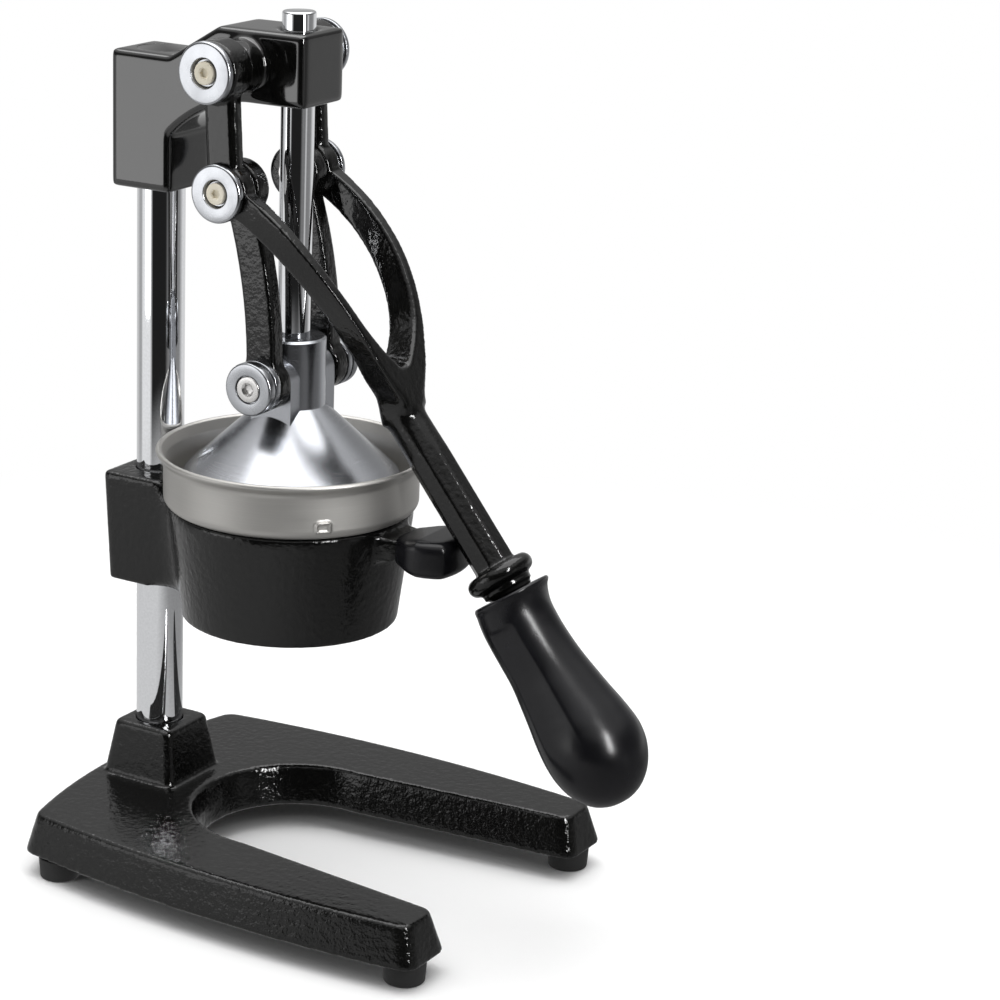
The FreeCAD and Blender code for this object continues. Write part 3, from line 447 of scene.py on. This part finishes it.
CLAMP_WEBS = [(from_axis(x, 50, 155), (20, 22, 42), 600) for x in (-25, 25)]
TANG_ROOT = (from_axis(0, -60, 175), (26, 12, 16), 60)
casting("cup_holder", 0.8, 12, 0.10, 3.0, [POST_BORE], CLAMP_WEBS + [TANG_ROOT])

FORK_CROTCH = (from_axis(0, -60, 238), (22, 26, 26), 150)
FORK_ARMS = (from_axis(0, -20, 302), (60, 60, 60), 36)
handle_bores = [pin_bore(node) for node in ("pivot_shaft", "elbow_pin_left", "elbow_pin_right")]
casting("handle_casting", 0.6, 10, 0.08, 2.6, handle_bores, [FORK_CROTCH, FORK_ARMS], SMOOTHER_ENAMEL)

for way in SIDES:
    casting("link_" + way, 0.55, 10, 0.10, 2.6, [pin_bore("elbow_pin_" + way)])

casting("head_block", 0.7, 40, bores=[POST_BORE, ROD_BORE, pin_bore("pivot_shaft")])


def holder_sleeve():
    """The sleeve on the holder's tang, which narrows to the bowl."""
    mesh = casting("holder_grip", 0.5, 26).data
    points = points_of(mesh)
    low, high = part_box("holder_grip")
    neck_length = 0.014
    neck = np.clip((points[:, 1] - (high.y - neck_length)) / neck_length, 0, 1)
    for side, share in ((X, 0.12), (Z, 0.26)):
        centre = (low[side] + high[side]) / 2
        points[:, side] = centre + (points[:, side] - centre) * (1 - share * neck)
    set_points(mesh, points)


holder_sleeve()


# ---------------------------------------------------------------- turned pieces
def upright(node, profile, segments=128):
    """A turned piece that stands on a node's own axis; heights are from the floor."""
    spot = middle(node)
    return show(stand_at(lathe(profile, segments), Vector((spot.x, spot.y, 0))), node, 40)


def outward(node, profile, warp=None, material=None):
    """A turned piece whose axis runs out sideways; heights are from the node's inner face."""
    low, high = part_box(node)
    spot = (low + high) / 2
    way = 1 if spot.x > PRESS_AXIS.x else -1
    spot.x = low.x if way > 0 else high.x
    turn = Vector((way, 0, 0)).to_track_quat("Z", "Y").to_matrix()
    return show(stand_at(lathe(profile, 96, warp), spot, turn), node, 40, material)


def bar_profile(node, radius, foot, bore, bore_top, tip, foot_round, top_round):
    """A round bar with a drilled and pointed screw hole in its lower end."""
    top = top_of(node)
    outside = rounded([(bore, foot, 0), (radius, foot, foot_round), (radius, top, top_round), (0, top, 0)])
    return [(0, tip), (bore, bore_top), (bore, foot)] + outside[1:]


upright("post", bar_profile("post", 11.5, 26, 4.1, 54, 56, 0.5, 1.0), 160)
upright("slide_rod", bar_profile("slide_rod", 7.8, 237, 2.6, 249.5, 251, 0.4, 1.1), 160)
foot_profile = rounded([
    (2.4, 12, 0), (2.4, 5, 0), (5, 5, 0), (5, 0, 0.3), (9.5, 0, 1.2), (10.2, 10.6, 0.5), (3.8, 10.6, 0),
    (3.8, 12, 0)])
for corner in ("front_left", "front_right", "rear_left", "rear_right"):
    upright("foot_" + corner, foot_profile, 64)


def cap_profile(radius, thick, opening):
    """A turned cap: narrow rear shoulder, rounded face and a dished recess for the screw."""
    bore = 2.65
    return rounded([
        (bore, 0, 0), (radius - 1.7, 0, 0.2), (radius - 1.7, 1.0, 0.25), (radius, 1.0, 0.5),
        (radius, thick, 1.3), (opening, thick, 0.4), (opening - 0.9, thick - 2.1, 0.2),
        (bore, thick - 2.1, 0)])


def lower_cap_profile(thick):
    """The lower pivot's cap: two flanges with a groove between them and a recess for the screw."""
    bore, radius, groove, opening = 3.05, 12.5, 10.6, 6.7
    return rounded([
        (bore, 0, 0), (radius, 0, 0.4), (radius, 3.1, 0.5), (groove, 3.2, 0.3), (groove, 4.2, 0.3),
        (radius, 4.3, 0.4), (radius, thick, 1.1), (opening, thick, 0.3), (opening, thick - 2, 0.1),
        (bore, thick - 2, 0)])


def hexagon(angle):
    """How far out a hexagon's side is at an angle, for a corner at 1."""
    return math.cos(math.pi / 6) / math.cos(angle % (math.pi / 3) - math.pi / 6)


def star(angle):
    """How far out a six-lobed star's edge is at an angle."""
    return 0.88 + 0.12 * math.cos(6 * angle)


def socket(key, outline):
    """A warp that gives every ring up to the key's radius the outline of a driver."""
    def warp(point, radius, angle):
        if radius > key + 0.01:
            return point
        stretch = outline(angle)
        return Vector((point.x * stretch, point.y * stretch, point.z))
    return warp


def screw_profile(length, shaft, head, key):
    """A screw with a rounded flat head and a socket."""
    return [(0, 0)] + rounded([
        (0, 0, 0), (shaft, 0, 0.3), (shaft, length - 2, 0), (head, length - 2, 0.2), (head, length, 0.6),
        (key * 1.2, length, 0.1), (key, length - 0.35, 0), (key, length - 1.7, 0), (0, length - 1.9, 0)])[1:]


def cap_screw(node, shaft, head, key, outline):
    """A cap's screw, from the radii of its shaft, its head and its socket."""
    outward(node, screw_profile(long_of(node), shaft, head, key), socket(key, outline))


for way in SIDES:
    pivot_cap, elbow_cap, lower_cap = (place + "_cap_" + way for place in ("pivot", "elbow", "lower"))
    outward(pivot_cap, cap_profile(14.2, long_of(pivot_cap), 7.0), material=CAP_CHROME)
    outward(elbow_cap, cap_profile(13.5, long_of(elbow_cap), 6.6), material=CAP_CHROME)
    cap_screw("pivot_screw_" + way, 2.55, 5.3, 2.3, hexagon)
    cap_screw("elbow_screw_" + way, 2.55, 5.0, 2.2, hexagon)
    outward(lower_cap, lower_cap_profile(long_of(lower_cap)), material=CAP_CHROME)
    cap_screw("lower_screw_" + way, 3.0, 6.2, 2.7, star)


# ---------------------------------------------------------------- cup
CUP_WALL, CUP_LEDGE, CUP_TOP, SHEET = 60.5, 183.8, 211.4, 1.1
LOUVRE_ANGLE = math.radians(-90 - 42.6)
LOUVRE_Z = 190.3
LOUVRE_HALF_WIDE, LOUVRE_HALF_HIGH, LOUVRE_CORNER = 3.2, 2.4, 1.5


def louvre(point, radius, angle):
    """Press a small ridge with round corners, and the patch inside it, out of the cup's wall."""
    if radius < CUP_WALL - 0.05 or radius > CUP_WALL + 0.3:
        return point
    across = abs((angle - LOUVRE_ANGLE + math.pi) % (2 * math.pi) - math.pi) * radius
    over = abs(point.z - LOUVRE_Z)
    if across > 8 or over > 6:
        return point
    side = across - LOUVRE_HALF_WIDE + LOUVRE_CORNER
    level = over - LOUVRE_HALF_HIGH + LOUVRE_CORNER
    past_edge = math.hypot(max(side, 0), max(level, 0)) + min(max(side, level), 0) - LOUVRE_CORNER
    ridge = math.exp(-(past_edge / 0.75) ** 2)
    patch = 0.35 * math.exp(-(max(past_edge, 0) / 0.4) ** 2)
    out = 1 + (ridge + patch) / radius
    return Vector((point.x * out, point.y * out, point.z))


def cup_section():
    """The cup's section: up the outside from the outlet to the rolled rim, then down the inside."""
    ledge_round, louvre_zone, louvre_rows = 4.6, 9.0, 34
    funnel = rounded([
        (9.8, 126.0, 0), (11.0, 126.0, 0.3), (11.0, 150.0, 1.5), (12.5, 152.3, 1.5), (50.5, 182.0, 3),
        (51.8, CUP_LEDGE, 1.0), (CUP_WALL, CUP_LEDGE, 0)])[:-1]
    ledge = rounded([(54, CUP_LEDGE, 0), (CUP_WALL, CUP_LEDGE, ledge_round), (CUP_WALL, 200, 0)], 8)[1:-1]
    wall_foot = CUP_LEDGE + ledge_round
    wall = [(CUP_WALL, wall_foot + louvre_zone * row / louvre_rows) for row in range(1, louvre_rows)]
    rim_and_inside = rounded([
        (CUP_WALL, 199, 0), (CUP_WALL, 205.6, 4), (63.0, 207.9, 1.2), (64.4, 209.4, 1.3),
        (63.3, CUP_TOP, 1.2), (61.4, 210.3, 1.2), (CUP_WALL - SHEET, 205.6, 4),
        (CUP_WALL - SHEET, CUP_LEDGE + SHEET, 4), (51.3, 185.0, 1), (49.7, 183.1, 1), (11.9, 153.3, 1.2),
        (9.8, 150.4, 1.2), (9.8, 126.0, 0)])[:-1]
    return funnel + ledge + wall + rim_and_inside


def cup_bearings():
    """The bearings of the cup's mesh, close together where the louvre is."""
    half, close_steps, other_steps = math.radians(8), 48, 150
    around = 2 * math.pi - 2 * half
    close = [LOUVRE_ANGLE + half * (2 * step / close_steps - 1) for step in range(close_steps)]
    return close + [LOUVRE_ANGLE + half + around * step / other_steps for step in range(other_steps)]


show(stand_at(lathe(cup_section(), warp=louvre, angles=cup_bearings()), from_axis(0, 0, 0)), "juice_cup", 50)

# ---------------------------------------------------------------- handle grip
# Stations of the grip: distance from the rim, diameter, shift of the centre to the front (mm).
GRIP = np.array([
    (0.0, 35.6, -0.2), (0.5, 36.7, -0.2), (4, 35.7, -1.6), (10, 34.6, -3.1), (18, 34.4, -3.3),
    (28, 34.7, -2.6), (38, 35.8, -1.5), (48, 38.6, -0.6), (58, 41.8, 0.3), (68, 45.3, 1.2),
    (78, 47.1, 2.0), (86, 45.4, 2.1), (93, 40.6, 1.9), (99, 33.0, 1.7), (104, 21.5, 1.5),
    (106.2, 10.5, 1.5), (106.8, 0.0, 1.5)])
TILT = math.radians(34)
ALONG = Vector((0, -math.sin(TILT), -math.cos(TILT)))
FRONT = Vector((0, -math.cos(TILT), math.sin(TILT)))


def curve_through(stations, per_span):
    """Smooth curve through the stations, evenly split by chord length."""
    chord = np.linalg.norm(np.diff(stations * (1, 0.5, 1), axis=0), axis=1)
    place = np.concatenate(([0], np.cumsum(chord)))
    slope = np.gradient(stations, place, axis=0)
    rows = []
    for number in range(len(stations) - 1):
        span = place[number + 1] - place[number]
        for step in range(per_span):
            u = step / per_span
            rows.append((2 * u ** 3 - 3 * u ** 2 + 1) * stations[number]
                        + (u ** 3 - 2 * u ** 2 + u) * span * slope[number]
                        + (3 * u ** 2 - 2 * u ** 3) * stations[number + 1]
                        + (u ** 3 - u ** 2) * span * slope[number + 1])
    rows.append(stations[-1])
    return rows


def ease(value, start, end):
    """0 before start, 1 after end, smooth between."""
    part = min(max((value - start) / (end - start), 0), 1)
    return part * part * (3 - 2 * part)


def grip_mesh():
    """The pear-shaped grip with a flattened band down each side and a bore for the tang."""
    low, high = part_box("handle_grip")
    rim, rim_shift = 18.4, 0.2
    bore, bore_depth = 8.55, 71.5
    flat, flattening = 0.90, 0.72
    segments = 144
    centre = Vector(((low.x + high.x) / 2, high.y - (rim + rim_shift) * math.cos(TILT) * MM,
                     high.z - (rim - rim_shift) * math.sin(TILT) * MM))
    rows = [(0, bore_depth, 0, 0), (bore, bore_depth, 0, 0), (bore, 1.2, 0, 0), (12.4, 1.0, 0, 0),
            (16.6, 0.3, -0.2, 0)]
    for along, wide, shift in curve_through(GRIP, 10):
        band = ease(along, 11.5, 14.5) * (1 - ease(along, 64, 82))
        rows.append((max(wide, 0) / 2, along, shift, band))
    points, faces, rings = [], [], []
    for radius, along, shift, band in rows:
        spot = centre + ALONG * along * MM + FRONT * shift * MM
        if radius < 0.02:
            rings.append([len(points)])
            points.append(spot)
            continue
        ring = []
        for step in range(segments):
            angle = 2 * math.pi * step / segments
            front, side = math.cos(angle), math.sin(angle)
            if abs(side) > flat:
                cut = flat + (abs(side) - flat) * (1 - flattening * band)
                side = math.copysign(cut, side)
            ring.append(len(points))
            points.append(spot + FRONT * front * radius * MM + Vector((side * radius * MM, 0, 0)))
        rings.append(ring)
    for first, second in zip(rings, rings[1:]):
        faces += band_faces(first, second)
    return closed_mesh("grip", points, faces)


show(grip_mesh(), "handle_grip", 50)

# ---------------------------------------------------------------- CAD nodes that stay
for node, thing in NODES.items():
    thing.data.materials.clear()
    thing.data.materials.append(MATERIALS[SLOT_OF[node]])

# ---------------------------------------------------------------- camera
AZIMUTH, ELEVATION, ROLL = math.radians(-56.675), math.radians(16.751), math.radians(-0.979)
TARGET = from_axis(0, 0, 200)
DISTANCE = 1.39963
TO_CAMERA = Vector((math.sin(AZIMUTH), -math.cos(AZIMUTH), 0))
TO_RIGHT = Vector((math.cos(AZIMUTH), math.sin(AZIMUTH), 0))


def add_camera():
    """The camera, with a shift and a small roll for its framing."""
    level = math.cos(ELEVATION)
    back = Vector((math.sin(AZIMUTH) * level, -math.cos(AZIMUTH) * level, math.sin(ELEVATION)))
    up = back.cross(TO_RIGHT)
    camera_right = TO_RIGHT * math.cos(ROLL) - up * math.sin(ROLL)
    camera_up = TO_RIGHT * math.sin(ROLL) + up * math.cos(ROLL)
    axes = Matrix((camera_right, camera_up, back)).transposed().to_4x4()
    lens = bpy.data.cameras.new("camera")
    lens.lens = 106.93
    lens.sensor_width = 36.0
    lens.shift_x = 0.2084
    lens.shift_y = -0.0303
    camera = bpy.data.objects.new("camera", lens)
    bpy.context.scene.collection.objects.link(camera)
    camera.matrix_world = Matrix.Translation(TARGET + back * DISTANCE) @ axes
    bpy.context.scene.camera = camera


add_camera()


# ---------------------------------------------------------------- stage
def disc(name, rings, segments=96, filled=True):
    """A round sheet from (radius, height) rings in metres, with or without its middle."""
    mesh = bpy.data.meshes.new(name)
    points, faces = [], []
    for radius, height in rings:
        for step in range(segments):
            angle = 2 * math.pi * step / segments
            points.append((radius * math.cos(angle), radius * math.sin(angle), height))
    if filled:
        faces.append(tuple(range(segments)))
    for ring in range(len(rings) - 1):
        low, high = ring * segments, (ring + 1) * segments
        for step in range(segments):
            after = (step + 1) % segments
            faces.append((low + step, high + step, high + after, low + after))
    mesh.from_pydata(points, [], faces)
    mesh.shade_smooth()
    thing = bpy.data.objects.new(name, mesh)
    bpy.context.scene.collection.objects.link(thing)
    return thing


def paint(thing, make_surface):
    """Give a stage object a material of its own, whose surface a function makes from a node helper."""
    material = bpy.data.materials.new(thing.name)
    material.use_nodes = True
    nodes = material.node_tree.nodes
    nodes.remove(nodes["Principled BSDF"])
    surface = make_surface(Nodes(material.node_tree))
    material.node_tree.links.new(surface, nodes["Material Output"].inputs["Surface"])
    thing.data.materials.append(material)


def hide_from(thing, *rays):
    """Hide a stage object or a light from kinds of ray."""
    for kind in rays:
        setattr(thing, "visible_" + kind, False)


def from_middle(tree):
    """A point's place on the stage and its distance from the middle."""
    spot = tree.add("ShaderNodeTexCoord").outputs["Object"]
    return spot, tree.measure("LENGTH", spot)


WHITE = (1, 1, 1, 1)
FLOOR_EDGE = 0.75
BELOW_FLOOR = -0.0005
BELOW_BACKDROP = -0.0006


def floor_surface(tree):
    """Matt pale sheet near the object that fades into plain white."""
    spot, away = from_middle(tree)
    fade = tree.ramp(away, [(0.30, 0.0), (0.70, 1.0)], "EASE")
    grain = tree.bump(tree.noise(spot, 900.0), 0.1, 0.00005)
    sheet = tree.add("ShaderNodeBsdfDiffuse", {"Color": (0.9, 0.9, 0.9, 1), "Normal": grain}).outputs[0]
    return tree.mix_shaders(fade, sheet, tree.glow(WHITE))


def painted_reflection_surface(tree):
    """A painted reflection of the floor for gloss and metal: a glow painted bright near the object and to the
    left as the floor's light and shade, gone further out.
    """
    spot, away = from_middle(tree)
    across = tree.measure("DOT_PRODUCT", spot, TO_RIGHT)
    # Painted light and shade of the floor in the reflection: brighter to the left, darker to the right.
    painted_side_light = tree.ramp(tree.math("ADD", across, 0.5), [(0.35, 0.66), (0.62, 0.30), (0.9, 0.22)])
    clear = tree.add("ShaderNodeBsdfTransparent").outputs[0]
    return tree.mix_shaders(tree.ramp(away, [(0.35, 0.0), (0.95, 1.0)], "EASE"), tree.glow(painted_side_light), clear)


floor = disc("floor", [(0.2, 0), (0.4, 0), (FLOOR_EDGE, 0)])
paint(floor, floor_surface)
hide_from(floor, "glossy")

backdrop = disc("backdrop", [
    (FLOOR_EDGE - 0.001, BELOW_FLOOR), (2.4, BELOW_FLOOR), (3.2, 0.25), (3.7, 1.0), (3.8, 3.0), (2.6, 5.0),
    (0.1, 5.6)], filled=False)
paint(backdrop, lambda tree: tree.glow(WHITE))
hide_from(backdrop, "glossy", "diffuse", "transmission", "shadow")

# A glowing sheet just under the floor that only reflections see: a painted reflection of the floor, standing
# in for the floor that gloss does not see.
card = disc("painted_floor_reflection", [(radius, BELOW_BACKDROP) for radius in (0.2, 0.5, 1.2)])
paint(card, painted_reflection_surface)
hide_from(card, "camera", "diffuse", "transmission", "shadow")


# ---------------------------------------------------------------- studio light
def at(degrees):
    """A bearing, counted to the right from the camera's side, as a place on a ramp of bands."""
    return degrees / 360 + 0.5


# Soft boxes and dark gaps round the object, by bearing, below and above the horizon.
LOW_BANDS = [
    (0.0, 0.7), (at(-140), 0.65), (at(-116), 0.40), (at(-104), 0.40), (at(-94), 0.85), (at(-50), 0.85),
    (at(-38), 0.015), (at(24), 0.015), (at(38), 0.20), (at(55), 0.20), (at(59), 0.55), (at(66), 0.55),
    (at(71), 0.22), (at(100), 0.25), (at(125), 0.75), (1.0, 0.7)]
HIGH_BANDS = [
    (0.0, 0.42), (at(-140), 0.40), (at(-95), 0.12), (at(-50), 0.10), (at(-38), 0.03), (at(24), 0.03),
    (at(45), 0.10), (at(100), 0.12), (at(140), 0.42), (1.0, 0.42)]
HORIZON = [(0.50, 0.0), (0.54, 1.0)]
OVERHEAD = [(0.0, 0.0), (0.72, 0.0), (0.84, 1.0), (1.0, 1.0)]
CEILING = (0.95, 0.95, 0.95, 1)


def add_studio():
    """The world as metal and gloss see it: the bands by bearing under a bright ceiling."""
    world = bpy.data.worlds.new("studio")
    bpy.context.scene.world = world
    world.use_nodes = True
    tree = Nodes(world.node_tree)
    ray = tree.add("ShaderNodeTexCoord").outputs["Generated"]
    height = tree.add("ShaderNodeSeparateXYZ", {0: ray}).outputs["Z"]
    ahead = tree.measure("DOT_PRODUCT", ray, TO_CAMERA)
    aside = tree.measure("DOT_PRODUCT", ray, TO_RIGHT)
    turns = tree.math("DIVIDE", tree.math("ARCTAN2", aside, ahead), 2 * math.pi)
    bearing = tree.math("ADD", turns, 0.5)
    level = tree.math("ADD", tree.math("MULTIPLY", height, 0.5), 0.5)
    bands = tree.mix_colours(tree.ramp(level, HORIZON), tree.ramp(bearing, LOW_BANDS),
                             tree.ramp(bearing, HIGH_BANDS))
    colour = tree.mix_colours(tree.ramp(level, OVERHEAD), bands, CEILING)
    background = world.node_tree.nodes["Background"]
    world.node_tree.links.new(colour, background.inputs["Color"])
    background.inputs["Strength"].default_value = 1.0


add_studio()


def soft_box(name, spot, aim, wide, high, watts):
    """A flat light at a spot that faces an aim; the camera doesn't see it."""
    light = bpy.data.lights.new(name, "AREA")
    light.shape = "RECTANGLE"
    light.size = wide
    light.size_y = high
    light.energy = watts
    thing = bpy.data.objects.new(name, light)
    bpy.context.scene.collection.objects.link(thing)
    turn = (Vector(spot) - Vector(aim)).to_track_quat("Z", "Y")
    thing.matrix_world = Matrix.Translation(spot) @ turn.to_matrix().to_4x4()
    hide_from(thing, "camera")
    return thing


soft_box("top_light", (0.1, 0.1, 1.7), (0, 0.05, 0), 1.9, 1.9, 30)
soft_box("rear_light", (-0.78, 0.56, 0.30), (0, 0.05, 0.36), 0.5, 0.42, 1.1)
# A tall narrow strip that only gloss sees: the long highlight down the front of the hanging grip.
strip = soft_box("strip_light", (-0.355, -0.85, 0.546), (0, -0.15, 0.11), 0.11, 0.50, 8.0)
hide_from(strip, "diffuse")

bpy.context.scene.view_settings.view_transform = "Standard"
